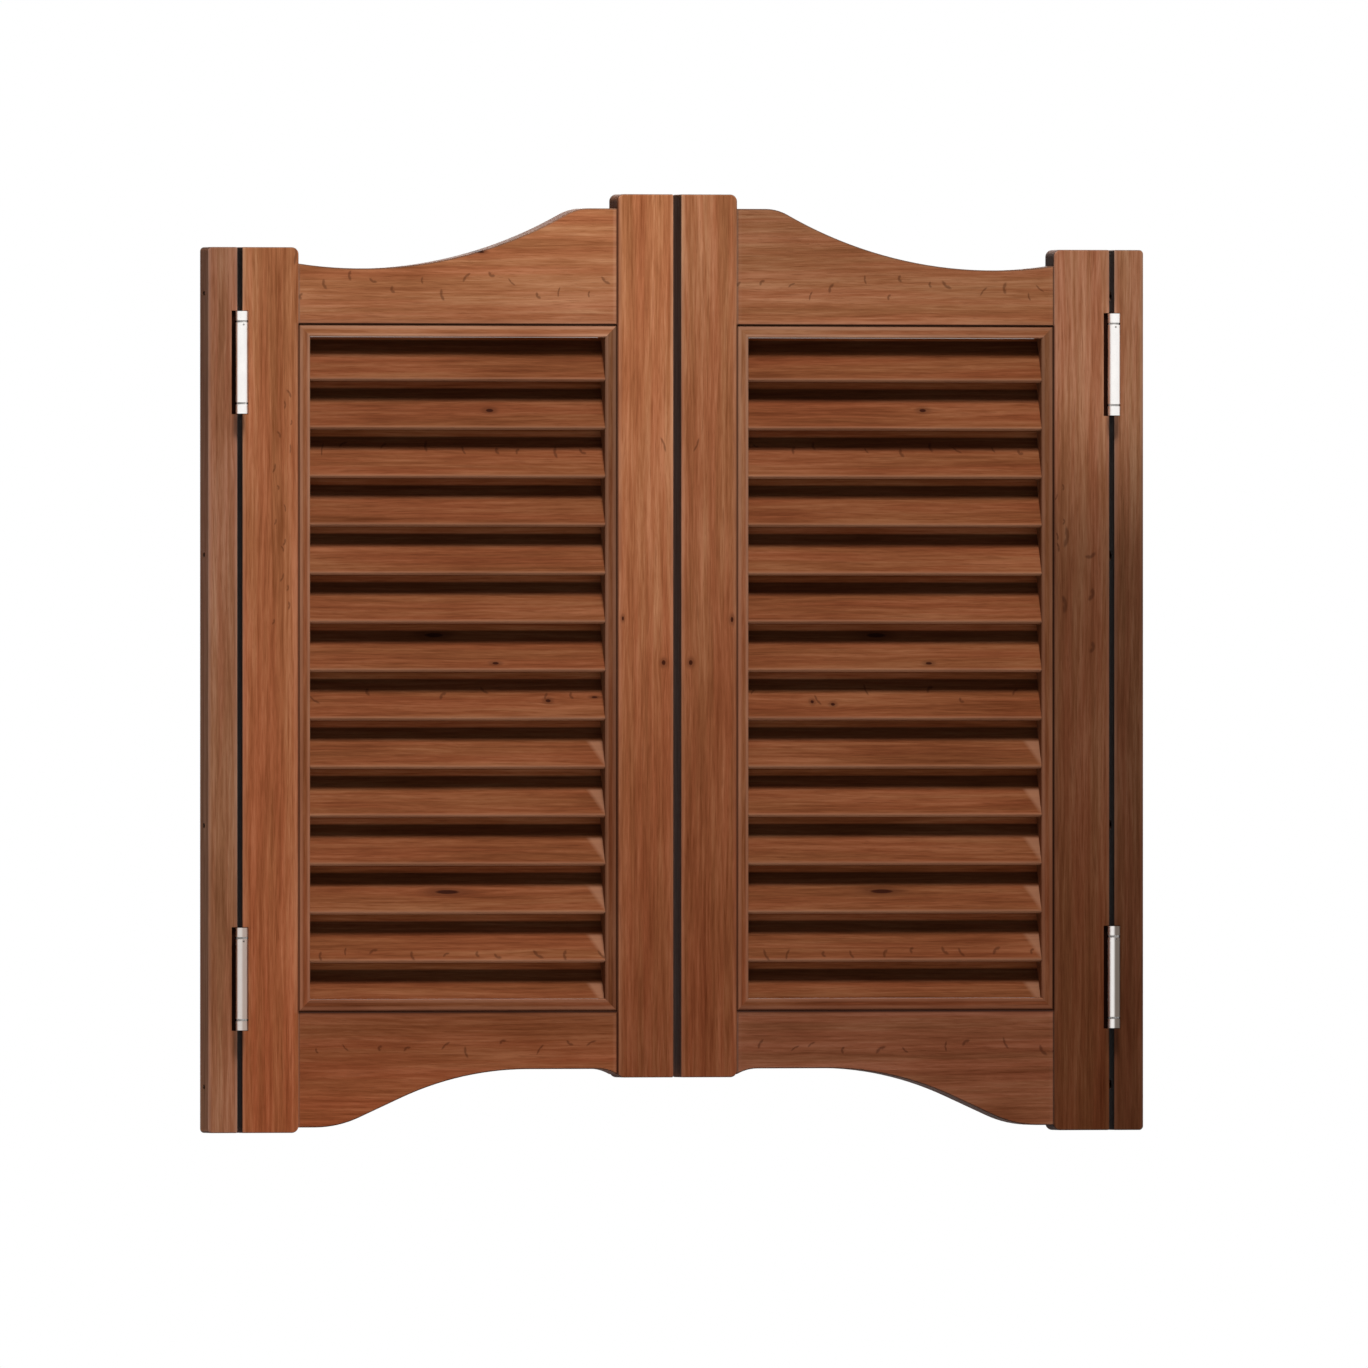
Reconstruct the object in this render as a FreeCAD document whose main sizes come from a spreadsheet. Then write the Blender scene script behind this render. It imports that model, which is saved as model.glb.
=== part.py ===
"""Pair of louvred cafe doors hung between two strips on double-action spring hinges.

Millimetres. The origin is under the middle of the pair, at the height of the strips' lower ends.
+X is to the right of someone facing the front, +Y goes from the front to the back, +Z is up.
Every size comes from the sheet. Lengths that follow from others are expressions over it.
"""

import FreeCAD, Part
import math
import os

import Sketcher
from FreeCAD import Placement, Rotation, Vector

SIZES = [
    # doorway and the gap between the doors
    ("opening_width", 960),
    ("centre_gap", 8),
    # hanging strips
    ("strip_width", 30),
    ("strip_height", 864),
    ("strip_corner", 4),
    ("mount_hole_diameter", 5),
    ("mount_countersink", 10),
    ("mount_outer_spacing", 774),
    ("mount_inner_spacing", 264),
    # boards of the doors
    ("board_thickness", 28),
    ("stile_width", 57.5),
    ("stile_height", 864),
    ("meeting_rise", 53),
    ("stile_corner", 7),
    ("gap_corner", 1.5),
    ("upright_arris", 1.2),
    ("arris", 1.1),
    # rails
    ("louvre_zone_bottom", 118),
    ("louvre_zone_height", 671),
    ("crest_height", 114),
    ("crest_flat", 29.4),
    ("crest_radius", 47.3),
    ("sweep_radius", 440),
    ("sweep_drop", 59.5),
    ("foot_height", 112.8),
    ("foot_flat", 16.8),
    ("foot_slope", 24),
    ("foot_outer_radius", 110),
    ("foot_inner_radius", 319),
    ("foot_drop", 56.3),
    ("toe_length", 21),
    ("toe_radius", 43),
    ("tenon_height", 36),
    ("tenon_shoulder", 9),
    ("tenon_thickness", 9),
    ("tenon_length", 28),
    ("tenon_end_gap", 0.8),
    # louvre frame and slats
    ("bar_width", 12),
    ("bar_thickness", 26),
    ("slat_count", 14),
    ("first_slat_drop", 41.8),
    ("last_slat_sink", 10.1),
    ("slat_overlap", 3.5),
    ("slat_thickness", 6),
    ("slat_tilt", 20.5),
    ("slat_setback", 0.8),
    ("slat_arris", 1.4),
    ("slat_fit", 0.12),
    ("slat_trim_gap", 0.2),
    ("groove_depth", 5),
    ("groove_end_gap", 0.3),
    # spring hinges
    ("hinge_height", 100),
    ("upper_hinge_centre", 751.5),
    ("lower_hinge_centre", 150.2),
    ("leaf_plate", 1.5),
    ("flange_plate", 1.5),
    ("plate_play", 0.25),
    ("barrel_diameter", 12),
    ("barrel_standoff", 0.2),
    ("ring_height", 9),
    ("tube_bore", 9.2),
    ("bush_lip", 2),
    ("bush_diameter", 10.4),
    ("bush_boss_length", 3),
    ("bush_boss_fit", 0.1),
    ("end_play", 0.1),
    ("spindle_diameter", 4),
    ("spindle_fit", 0.05),
    ("edge_setback", 0.5),
    ("leaf_back_setback", 3),
    ("spring_wire", 1.6),
    ("spring_fit", 0.2),
    ("spring_pitch", 3.6),
    ("adjuster_hole", 2),
    # recesses behind the barrels, in the boards on both sides of the gap
    ("recess_reach", 6),
    ("recess_depth", 3),
    ("recess_end_room", 0.5),
    # screws of the leaves
    ("screw_diameter", 3),
    ("screw_head", 6),
    ("screw_length", 20),
    ("screw_fit", 0.08),
    ("screws_per_leaf", 4),
    ("pilot_spare_depth", 0.8),
    ("screw_end_inset", 14),
    ("screw_stagger", 5),
    ("screw_recess_width", 0.8),
    ("screw_recess_depth", 0.9),
    ("screw_recess_span", 3.2),
]

doc = FreeCAD.newDocument("cafe_doors")
sheet = doc.addObject("Spreadsheet::Sheet", "sheet")
for row, (alias, size) in enumerate(SIZES, start=1):
    sheet.set(f"A{row}", alias)
    sheet.set(f"B{row}", str(size))
    sheet.setAlias(f"B{row}", alias)
doc.recompute()

# Lengths that follow from the sheet.
HALF_OPENING = "sheet.opening_width / 2"
HALF_BOARD = "sheet.board_thickness / 2"
HALF_BAR = "sheet.bar_thickness / 2"
HINGE_GAP = "(2 * (sheet.leaf_plate + sheet.plate_play) + sheet.flange_plate)"
GAP_CENTRE = f"({HALF_OPENING} - sheet.strip_width - {HINGE_GAP} / 2)"
HINGE_FACE = f"({GAP_CENTRE} - {HINGE_GAP} / 2)"
RAIL_OUTER = f"({HINGE_FACE} - sheet.stile_width)"
RAIL_INNER = "(sheet.centre_gap / 2 + sheet.stile_width)"
ZONE_TOP = "(sheet.louvre_zone_bottom + sheet.louvre_zone_height)"
BAR_INSIDE_TOP = f"({ZONE_TOP} - sheet.bar_width)"
BAR_INSIDE_BOTTOM = "(sheet.louvre_zone_bottom + sheet.bar_width)"
TILT = "(sheet.slat_tilt * 1 deg)"
SLAT_NOSE_Y = f"(0 - {HALF_BAR} + sheet.slat_setback)"
FIRST_SLAT_Z = f"({BAR_INSIDE_TOP} - sheet.first_slat_drop)"
LAST_SLAT_Z = f"({BAR_INSIDE_BOTTOM} - sheet.last_slat_sink)"
SLAT_RUN = f"({FIRST_SLAT_Z} - {LAST_SLAT_Z})"
SLAT_PITCH = f"({SLAT_RUN} / (sheet.slat_count - 1))"
SLAT_WIDTH = f"(({SLAT_PITCH} + sheet.slat_overlap) / cos({TILT}))"
BARREL_RADIUS = "sheet.barrel_diameter / 2"
BARREL_Y = f"({HALF_BOARD} + sheet.barrel_standoff + {BARREL_RADIUS})"
TUBE_BOTTOM = "(sheet.ring_height + sheet.end_play + sheet.bush_lip)"
TUBE_HEIGHT = f"(sheet.hinge_height - 2 * {TUBE_BOTTOM})"
TUBE_TOP = f"({TUBE_BOTTOM} + {TUBE_HEIGHT})"
SPRING_END_ROOM = "(sheet.bush_boss_length + sheet.spring_wire / 2 + sheet.spring_fit)"
SPRING_RADIUS = "((sheet.tube_bore - sheet.spring_wire) / 2 - sheet.spring_fit)"
GAP_X = f"(0 - {GAP_CENTRE})"
LEAF_X = (f"({GAP_X} - {HINGE_GAP} / 2)", f"({GAP_X} - {HINGE_GAP} / 2 + sheet.leaf_plate)")
LEAF_FRONT = f"(sheet.edge_setback - {HALF_BOARD})"
LEAF_BACK = f"({HALF_BOARD} - sheet.leaf_back_setback)"
LEAF_MIDDLE = f"(({LEAF_FRONT} + {LEAF_BACK}) / 2)"
# A plate that joins a barrel ends inside the barrel's wall.
PLATE_END_Y = f"({BARREL_Y} - (sheet.tube_bore + sheet.barrel_diameter) / 4 + sheet.bush_boss_fit)"
# The strip's barrel is in front of a hinge and the door's is behind it.
BARRELS = [(GAP_X, f"(0 - {BARREL_Y})"), (GAP_X, BARREL_Y)]
SPINDLE_BORE = "(sheet.spindle_diameter / 2 + sheet.spindle_fit)"
HINGE_CENTRES = ["sheet.upper_hinge_centre", "sheet.lower_hinge_centre"]

SIDES = {"left": -1, "right": 1}
nodes = {}


def value(expression):
    """Number that an expression over the sheet has now."""
    result = doc.sheet.evalExpression(str(expression))
    return float(getattr(result, "Value", result))


def bind(item, **expressions):
    """Tie properties of an object to expressions."""
    for name, expression in expressions.items():
        item.setExpression(name, str(expression))
    return item


def place(item, x="0", y="0", z="0"):
    """Tie an object's position to three expressions."""
    for axis, expression in (("x", x), ("y", y), ("z", z)):
        item.setExpression(f".Placement.Base.{axis}", str(expression))
    return item


# Wooden pieces: bodies with sketches.


def new_body(name, is_node=True):
    """Body for one wooden piece, listed as a node of its own unless it shares one."""
    body = doc.addObject("PartDesign::Body", name)
    body.Label = name
    if is_node:
        nodes[name] = body
    return body


def add_sketch(body, role, offset=None):
    """Sketch on one of the body's own origin planes, moved along its normal by an expression."""
    sketch = body.newObject("Sketcher::SketchObject", f"{body.Name}_sketch")
    planes = [item for item in body.Origin.OriginFeatures if item.Role == role]
    sketch.AttachmentSupport = [(planes[0], "")]
    sketch.MapMode = "FlatFace"
    if offset is not None:
        sketch.setExpression(".AttachmentOffset.Base.z", offset)
    return sketch


def tie(sketch, constraint, expression):
    """Add a dimension to a sketch and bind it."""
    index = sketch.addConstraint(constraint)
    sketch.setExpression(f"Constraints[{index}]", expression)


def draw_outline(sketch, corners):
    """Closed outline through corners of (x, y, arc). An arc is (radius, turn) on the way to the next corner.

    A turn of 1 bends the outline to the left and -1 to the right.
    """
    points = [Vector(value(x), value(y), 0) for x, y, _ in corners]
    ends = []
    for index, (_, _, arc) in enumerate(corners):
        start, end = points[index], points[(index + 1) % len(points)]
        if arc is None:
            piece = sketch.addGeometry(Part.LineSegment(start, end))
            ends.append((piece, 1, 2))
            continue
        radius, turn = value(arc[0]), arc[1]
        chord = end - start
        rise = math.sqrt(max(radius**2 - chord.Length**2 / 4, 0.0))
        left = Vector(-chord.y, chord.x, 0).normalize()
        centre = (start + end) * 0.5 + left * rise * turn
        first, last = (start, end) if turn > 0 else (end, start)
        angles = [math.atan2(point.y - centre.y, point.x - centre.x) for point in (first, last)]
        circle = Part.Circle(centre, Vector(0, 0, 1), radius)
        piece = sketch.addGeometry(Part.ArcOfCircle(circle, *angles))
        ends.append((piece, 1, 2) if turn > 0 else (piece, 2, 1))
    for index, (x, y, arc) in enumerate(corners):
        piece, start, _ = ends[index]
        before, _, before_end = ends[index - 1]
        sketch.addConstraint(Sketcher.Constraint("Coincident", before, before_end, piece, start))
        at = points[index]
        tie(sketch, Sketcher.Constraint("DistanceX", -1, 1, piece, start, at.x), x)
        tie(sketch, Sketcher.Constraint("DistanceY", -1, 1, piece, start, at.y), y)
        if arc is not None:
            tie(sketch, Sketcher.Constraint("Radius", piece, value(arc[0])), arc[0])


def draw_circles(sketch, centres, diameter):
    """Circles of one size at centres of (x, y)."""
    for x, y in centres:
        centre = Vector(value(x), value(y), 0)
        circle = Part.Circle(centre, Vector(0, 0, 1), value(diameter) / 2)
        piece = sketch.addGeometry(circle)
        tie(sketch, Sketcher.Constraint("DistanceX", -1, 1, piece, 3, centre.x), x)
        tie(sketch, Sketcher.Constraint("DistanceY", -1, 1, piece, 3, centre.y), y)
        tie(sketch, Sketcher.Constraint("Diameter", piece, value(diameter)), diameter)


def rectangle(low, high):
    """Corners of an upright rectangle between two opposite corners."""
    return [
        (low[0], low[1], None),
        (high[0], low[1], None),
        (high[0], high[1], None),
        (low[0], high[1], None),
    ]


def rounded_board(side, inner, outer, bottom, top, inner_corner, outer_corner):
    """Outline of an upright board whose corners are rounded, mirrored to its side of the pair."""
    path = [
        (inner, f"{bottom} + {inner_corner}", (inner_corner, 1)),
        (f"{inner} + {inner_corner}", bottom, None),
        (f"{outer} - {outer_corner}", bottom, (outer_corner, 1)),
        (outer, f"{bottom} + {outer_corner}", None),
        (outer, f"{top} - {outer_corner}", (outer_corner, 1)),
        (f"{outer} - {outer_corner}", top, None),
        (f"{inner} + {inner_corner}", top, (inner_corner, 1)),
        (inner, f"{top} - {inner_corner}", None),
    ]
    return mirrored(side, path)


def mirrored(side, path):
    """The outline as drawn for the right side, or its mirror image for the left."""
    return [(f"{side} * ({x})", y, arc and (arc[0], arc[1] * side)) for x, y, arc in path]


def add_pad(body, sketch, thickness):
    """Pad a sketch by the same amount to both sides."""
    pad = body.newObject("PartDesign::Pad", f"{body.Name}_pad")
    pad.Profile = sketch
    pad.SideType = "Symmetric"
    bind(pad, Length=thickness)
    doc.recompute()


def add_pocket(body, sketch, depth, symmetric=False, reverse=False):
    """Cut a sketch out of the body, to a depth or, with a depth of None, right through."""
    before = body.Shape.Volume
    pocket = body.newObject("PartDesign::Pocket", f"{body.Name}_pocket")
    pocket.Profile = sketch
    pocket.SideType = "Symmetric" if symmetric else "One side"
    pocket.Reversed = reverse
    if depth is None:
        pocket.Type = "ThroughAll"
    else:
        bind(pocket, Length=depth)
    doc.recompute()
    if body.Shape.Volume >= before:
        raise RuntimeError(f"{pocket.Name} removed nothing")
    return pocket


def ease_edges(body, size, chosen, bevel=False):
    """Round or bevel the edges that a test picks."""
    base = body.Tip
    names = [f"Edge{n}" for n, edge in enumerate(base.Shape.Edges, start=1) if chosen(edge)]
    kind = "Chamfer" if bevel else "Fillet"
    easing = body.newObject(f"PartDesign::{kind}", f"{body.Name}_easing")
    easing.Base = (base, names)
    bind(easing, **{"Size" if bevel else "Radius": size})
    doc.recompute()


def in_face(edge, half_thickness):
    """Whether an edge lies in the front or the back face of a board."""
    middle = edge.valueAt((edge.FirstParameter + edge.LastParameter) / 2)
    points = [vertex.Point for vertex in edge.Vertexes] + [middle]
    return all(abs(abs(point.y) - half_thickness) < 1e-6 for point in points)


def screw_centres(bottom):
    """Places of one leaf's screws as (y, z), for a leaf whose lower end is at a height."""
    step = "(sheet.hinge_height - 2 * sheet.screw_end_inset) / (sheet.screws_per_leaf - 1)"
    places = []
    for row in range(round(value("sheet.screws_per_leaf"))):
        side = 1 if row % 2 == 0 else -1
        y = f"{LEAF_MIDDLE} + {side} * sheet.screw_stagger"
        places.append((y, f"{bottom} + sheet.screw_end_inset + {row} * {step}"))
    return places


def pilot_holes(body, face, turned, reverse):
    """Holes for the screws of both hinge leaves, into the side of a board that faces the gap."""
    sketch = add_sketch(body, "YZ_Plane", face)
    centres = []
    for middle in HINGE_CENTRES:
        for y, z in screw_centres(f"{middle} - sheet.hinge_height / 2"):
            centres.append((f"{turned} * ({y})", z))
    draw_circles(sketch, centres, "sheet.screw_diameter + 2 * sheet.screw_fit")
    depth = "sheet.screw_length - sheet.leaf_plate + sheet.pilot_spare_depth"
    add_pocket(body, sketch, depth, reverse=reverse)


def barrel_recesses(body, face, reverse):
    """Recess behind each barrel, cut from the side of a board that faces the gap."""
    sketch = add_sketch(body, "YZ_Plane", face)
    half_height = "(sheet.hinge_height / 2 + sheet.recess_end_room)"
    floor = f"({HALF_BOARD} - sheet.recess_depth)"
    for middle in HINGE_CENTRES:
        low, high = f"{middle} - {half_height}", f"{middle} + {half_height}"
        draw_outline(sketch, rectangle(("0 - sheet.board_thickness", low), (f"0 - {floor}", high)))
        draw_outline(sketch, rectangle((floor, low), ("sheet.board_thickness", high)))
    add_pocket(body, sketch, "sheet.recess_reach", reverse=reverse)


def hanging_strip(name, side):
    """Narrow board that is screwed to the doorway and carries the jamb leaves."""
    body = new_body(f"{name}_hanging_strip")
    inner = f"({HALF_OPENING} - sheet.strip_width)"
    corner = "sheet.strip_corner"
    sketch = add_sketch(body, "XZ_Plane")
    shape = rounded_board(side, inner, HALF_OPENING, "0", "sheet.strip_height", "sheet.gap_corner", corner)
    draw_outline(sketch, shape)
    add_pad(body, sketch, "sheet.board_thickness")
    half = value(HALF_BOARD)
    ease_edges(body, "sheet.upright_arris", lambda edge: in_face(edge, half))
    face = f"{side} * {inner}"
    pilot_holes(body, face, turned=-side, reverse=side > 0)
    barrel_recesses(body, face, reverse=side > 0)
    mounting_holes(body, side, inner)


def mounting_holes(body, side, inner):
    """Countersunk holes through the strip, for the screws into the doorway."""
    sketch = add_sketch(body, "YZ_Plane", f"{side} * {inner}")
    spacings = ("sheet.mount_outer_spacing", "sheet.mount_inner_spacing")
    heights = [f"(sheet.strip_height + {sign} * {gap}) / 2" for gap in spacings for sign in (-1, 1)]
    draw_circles(sketch, [("0", z) for z in heights], "sheet.mount_hole_diameter")
    doc.recompute()
    before = body.Shape.Volume
    hole = body.newObject("PartDesign::Hole", f"{body.Name}_hole")
    hole.Profile = sketch
    hole.DepthType = "ThroughAll"
    hole.Reversed = side > 0
    hole.HoleCutType = "Countersink"
    hole.HoleCutCustomValues = True
    hole.HoleCutCountersinkAngle = 90
    bind(hole, Diameter="sheet.mount_hole_diameter", HoleCutDiameter="sheet.mount_countersink")
    doc.recompute()
    if body.Shape.Volume >= before:
        raise RuntimeError(f"{hole.Name} removed nothing")


def tenon_bottoms():
    """Height of the lower edge of the bottom rail's tenons and of the top rail's."""
    bottom = "sheet.louvre_zone_bottom - sheet.tenon_shoulder - sheet.tenon_height"
    top = f"{ZONE_TOP} + sheet.tenon_shoulder"
    return [bottom, top]


def stile(name, side, role):
    """Upright of a door, with a mortise for each rail."""
    body = new_body(f"{name}_{role}_stile")
    at_hinge = role == "hinge"
    inner, outer = (RAIL_OUTER, HINGE_FACE) if at_hinge else ("sheet.centre_gap / 2", RAIL_INNER)
    bottom = "0" if at_hinge else "sheet.meeting_rise"
    corners = ("sheet.stile_corner", "sheet.gap_corner")
    inner_corner, outer_corner = corners if at_hinge else reversed(corners)
    sketch = add_sketch(body, "XZ_Plane")
    top = f"({bottom} + sheet.stile_height)"
    draw_outline(sketch, rounded_board(side, inner, outer, bottom, top, inner_corner, outer_corner))
    add_pad(body, sketch, "sheet.board_thickness")
    half = value(HALF_BOARD)
    ease_edges(body, "sheet.upright_arris", lambda edge: in_face(edge, half))
    reach = "(sheet.tenon_length + sheet.tenon_end_gap)"
    mouth, end = (inner, f"{inner} + {reach}") if at_hinge else (f"{outer} - {reach}", outer)
    for low in tenon_bottoms():
        mortise = add_sketch(body, "XZ_Plane")
        slot = rectangle((mouth, low), (end, f"{low} + sheet.tenon_height"))
        draw_outline(mortise, mirrored(side, slot))
        add_pocket(body, mortise, "sheet.tenon_thickness", symmetric=True)
    if at_hinge:
        face = f"{side} * {HINGE_FACE}"
        pilot_holes(body, face, turned=side, reverse=side < 0)
        barrel_recesses(body, face, reverse=side < 0)


def top_rail_path():
    """Outline of the top rail: a flat crest beside the meeting stile that sweeps down to the hinge stile."""
    crest = f"({ZONE_TOP} + sheet.crest_height)"
    turn = "acos(1 - sheet.sweep_drop / (sheet.crest_radius + sheet.sweep_radius))"
    crest_end = f"({RAIL_INNER} + sheet.crest_flat)"
    meet_x = f"({crest_end} + sheet.crest_radius * sin({turn}))"
    meet_z = f"({crest} - sheet.crest_radius * (1 - cos({turn})))"
    low_x = f"({meet_x} + sheet.sweep_radius * sin({turn}))"
    low_z = f"({crest} - sheet.sweep_drop)"
    past_low = f"({RAIL_OUTER} - {low_x})"
    end_z = f"({low_z} + sheet.sweep_radius - sqrt(sheet.sweep_radius ^ 2 - {past_low} ^ 2))"
    return [
        (RAIL_INNER, ZONE_TOP, None),
        (RAIL_OUTER, ZONE_TOP, None),
        (RAIL_OUTER, end_z, ("sheet.sweep_radius", -1)),
        (meet_x, meet_z, ("sheet.crest_radius", 1)),
        (crest_end, crest, None),
        (RAIL_INNER, crest, None),
    ]


def bottom_rail_path():
    """Outline of the bottom rail: high beside the meeting stile, with a foot beside the hinge stile."""
    roof = "(sheet.louvre_zone_bottom - sheet.foot_height + sheet.foot_drop)"
    foot = "(sheet.louvre_zone_bottom - sheet.foot_height)"
    slope = "(sheet.foot_slope * 1 deg)"
    both = "(sheet.foot_inner_radius + sheet.foot_outer_radius)"
    straight = f"((sheet.foot_drop - {both} * (1 - cos({slope}))) / sin({slope}))"
    foot_x = f"({RAIL_OUTER} - sheet.foot_flat)"
    lower_x = f"({foot_x} - sheet.foot_outer_radius * sin({slope}))"
    lower_z = f"({foot} + sheet.foot_outer_radius * (1 - cos({slope})))"
    upper_x = f"({lower_x} - {straight} * cos({slope}))"
    upper_z = f"({lower_z} + {straight} * sin({slope}))"
    roof_x = f"({upper_x} - sheet.foot_inner_radius * sin({slope}))"
    toe_x = f"({RAIL_INNER} + sheet.toe_length)"
    toe_z = f"({roof} - sheet.toe_radius + sqrt(sheet.toe_radius ^ 2 - sheet.toe_length ^ 2))"
    return [
        (RAIL_INNER, "sheet.louvre_zone_bottom", None),
        (RAIL_INNER, toe_z, ("sheet.toe_radius", -1)),
        (toe_x, roof, None),
        (roof_x, roof, ("sheet.foot_inner_radius", -1)),
        (upper_x, upper_z, None),
        (lower_x, lower_z, ("sheet.foot_outer_radius", 1)),
        (foot_x, foot, None),
        (RAIL_OUTER, foot, None),
        (RAIL_OUTER, "sheet.louvre_zone_bottom", None),
    ]


def rail(name, side, role, path, tenon_bottom):
    """Level board between the stiles, with a tenon at each end."""
    body = new_body(f"{name}_{role}_rail")
    sketch = add_sketch(body, "XZ_Plane")
    draw_outline(sketch, mirrored(side, path))
    add_pad(body, sketch, "sheet.board_thickness")
    half = value(HALF_BOARD)
    ease_edges(body, "sheet.arris", lambda edge: in_face(edge, half), bevel=True)
    tenon = add_sketch(body, "XZ_Plane")
    low = (f"{RAIL_INNER} - sheet.tenon_length", tenon_bottom)
    high = (f"{RAIL_OUTER} + sheet.tenon_length", f"{tenon_bottom} + sheet.tenon_height")
    draw_outline(tenon, mirrored(side, rectangle(low, high)))
    add_pad(body, tenon, "sheet.tenon_thickness")


# The louvre frame and its slats.


def bar_paths():
    """Outlines of the four frame bars, with mitred corners."""
    x0, x1 = RAIL_INNER, RAIL_OUTER
    z0, z1 = "sheet.louvre_zone_bottom", ZONE_TOP
    in_x0, in_x1 = f"{x0} + sheet.bar_width", f"{x1} - sheet.bar_width"
    in_z0, in_z1 = BAR_INSIDE_BOTTOM, BAR_INSIDE_TOP
    return {
        "top": [(x0, z1, None), (in_x0, in_z1, None), (in_x1, in_z1, None), (x1, z1, None)],
        "bottom": [(x0, z0, None), (x1, z0, None), (in_x1, in_z0, None), (in_x0, in_z0, None)],
        "meeting_side": [(x0, z0, None), (in_x0, in_z0, None), (in_x0, in_z1, None), (x0, z1, None)],
        "hinge_side": [(x1, z0, None), (x1, z1, None), (in_x1, in_z1, None), (in_x1, in_z0, None)],
    }


def slat_section(nose_y, nose_z, growth):
    """Tilted rectangle of a slat's section in (y, z), larger by a growth all round."""
    along = [f"(0 - {growth})", f"({SLAT_WIDTH} + {growth})"]
    across = [f"(0 - {growth})", f"(sheet.slat_thickness + {growth})"]
    order = [(0, 0), (0, 1), (1, 1), (1, 0)]
    return [
        (
            f"{nose_y} + {along[a]} * sin({TILT}) + {across[b]} * cos({TILT})",
            f"{nose_z} + {along[a]} * cos({TILT}) - {across[b]} * sin({TILT})",
            None,
        )
        for a, b in order
    ]


def frame_bar(name, side, role, path):
    """One bar of the louvre frame. The side bars have a groove for the end of each slat."""
    grooved = role.endswith("_side")
    body = new_body(f"{name}_louvre_bar_{role}", is_node=grooved)
    sketch = add_sketch(body, "XZ_Plane")
    draw_outline(sketch, mirrored(side, path))
    add_pad(body, sketch, "sheet.bar_thickness")
    half = value(HALF_BAR)
    ease_edges(body, "sheet.arris", lambda edge: in_face(edge, half) and not is_mitre(edge), bevel=True)
    if not grooved:
        return body
    at_hinge = role == "hinge_side"
    face = f"{RAIL_OUTER} - sheet.bar_width" if at_hinge else f"{RAIL_INNER} + sheet.bar_width"
    groove = add_sketch(body, "YZ_Plane", f"{side} * ({face})")
    draw_outline(groove, slat_section(SLAT_NOSE_Y, FIRST_SLAT_Z, "sheet.slat_fit"))
    into_plus_x = (side > 0) == at_hinge
    pocket = add_pocket(body, groove, "sheet.groove_depth", reverse=into_plus_x)
    repeat_downwards(body, pocket)
    return body


def is_mitre(edge):
    """Whether an edge slopes, as the mitres do."""
    direction = edge.tangentAt(edge.FirstParameter)
    return abs(direction.x) > 0.1 and abs(direction.z) > 0.1


def repeat_downwards(body, feature):
    """Repeat a groove for every slat."""
    before = body.Shape.Volume
    pattern = body.newObject("PartDesign::LinearPattern", f"{body.Name}_grooves")
    pattern.Originals = [feature]
    axis = [item for item in body.Origin.OriginFeatures if item.Role == "Z_Axis"]
    pattern.Direction = (axis[0], [""])
    pattern.Reversed = True
    bind(pattern, Length=SLAT_RUN, Occurrences="sheet.slat_count")
    body.Tip = pattern
    doc.recompute()
    if body.Shape.Volume >= before:
        raise RuntimeError(f"{pattern.Name} removed nothing")


def slat(name, side, number):
    """One slat, its ends in the grooves. The first and the last are cut along the frame bar beside them."""
    body = new_body(f"{name}_slat_{number:02d}")
    into_groove = "(sheet.groove_depth - sheet.groove_end_gap - sheet.bar_width)"
    middle = f"{side} * ({RAIL_INNER} + {RAIL_OUTER}) / 2"
    sketch = add_sketch(body, "YZ_Plane", middle)
    nose_z = f"({FIRST_SLAT_Z} - {number - 1} * {SLAT_PITCH})"
    draw_outline(sketch, slat_section(SLAT_NOSE_Y, nose_z, "0"))
    add_pad(body, sketch, f"{RAIL_OUTER} - {RAIL_INNER} + 2 * {into_groove}")
    ease_edges(body, "sheet.slat_arris", lambda edge: abs(edge.tangentAt(edge.FirstParameter).x) > 0.99)
    if number == 1:
        cut_level(body, middle, f"{BAR_INSIDE_TOP} - sheet.slat_trim_gap", "+")
    if number == round(value("sheet.slat_count")):
        cut_level(body, middle, f"{BAR_INSIDE_BOTTOM} + sheet.slat_trim_gap", "-")


def cut_level(body, middle, edge, away):
    """Cut a slat level at a height, and take off what lies above (+) or below (-) it."""
    trim = add_sketch(body, "YZ_Plane", middle)
    reach = "sheet.board_thickness"
    far = f"{edge} {away} {SLAT_WIDTH}"
    draw_outline(trim, rectangle((f"0 - {reach}", edge), (reach, far)))
    add_pocket(body, trim, None, symmetric=True)


# Hinges. Each is drawn at the left gap with its lower end at zero, and turned half round for the right.


def block(low, high):
    """Box between two corners of expressions."""
    box = doc.addObject("Part::Box", "block")
    sizes = [f"({b}) - ({a})" for a, b in zip(low, high)]
    bind(box, Length=sizes[0], Width=sizes[1], Height=sizes[2])
    return place(box, *low)


def upright(x, y, low, high, radius):
    """Upright cylinder at (x, y) between two heights."""
    rod = doc.addObject("Part::Cylinder", "upright")
    bind(rod, Radius=radius, Height=f"({high}) - ({low})")
    return place(rod, x, y, low)


def fuse(pieces):
    """Union of pieces."""
    union = doc.addObject("Part::MultiFuse", "union")
    union.Shapes = pieces
    union.Refine = True
    return union


def cut(base, tools):
    """A base with tools removed."""
    tool = tools[0] if len(tools) == 1 else fuse(tools)
    difference = doc.addObject("Part::Cut", "difference")
    difference.Base = base
    difference.Tool = tool
    return difference


def lying(item, angle):
    """Turn an upright cylinder or cone so that its axis lies along X."""
    item.Placement = Placement(item.Placement.Base, Rotation(Vector(0, 1, 0), angle))
    return item


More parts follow.
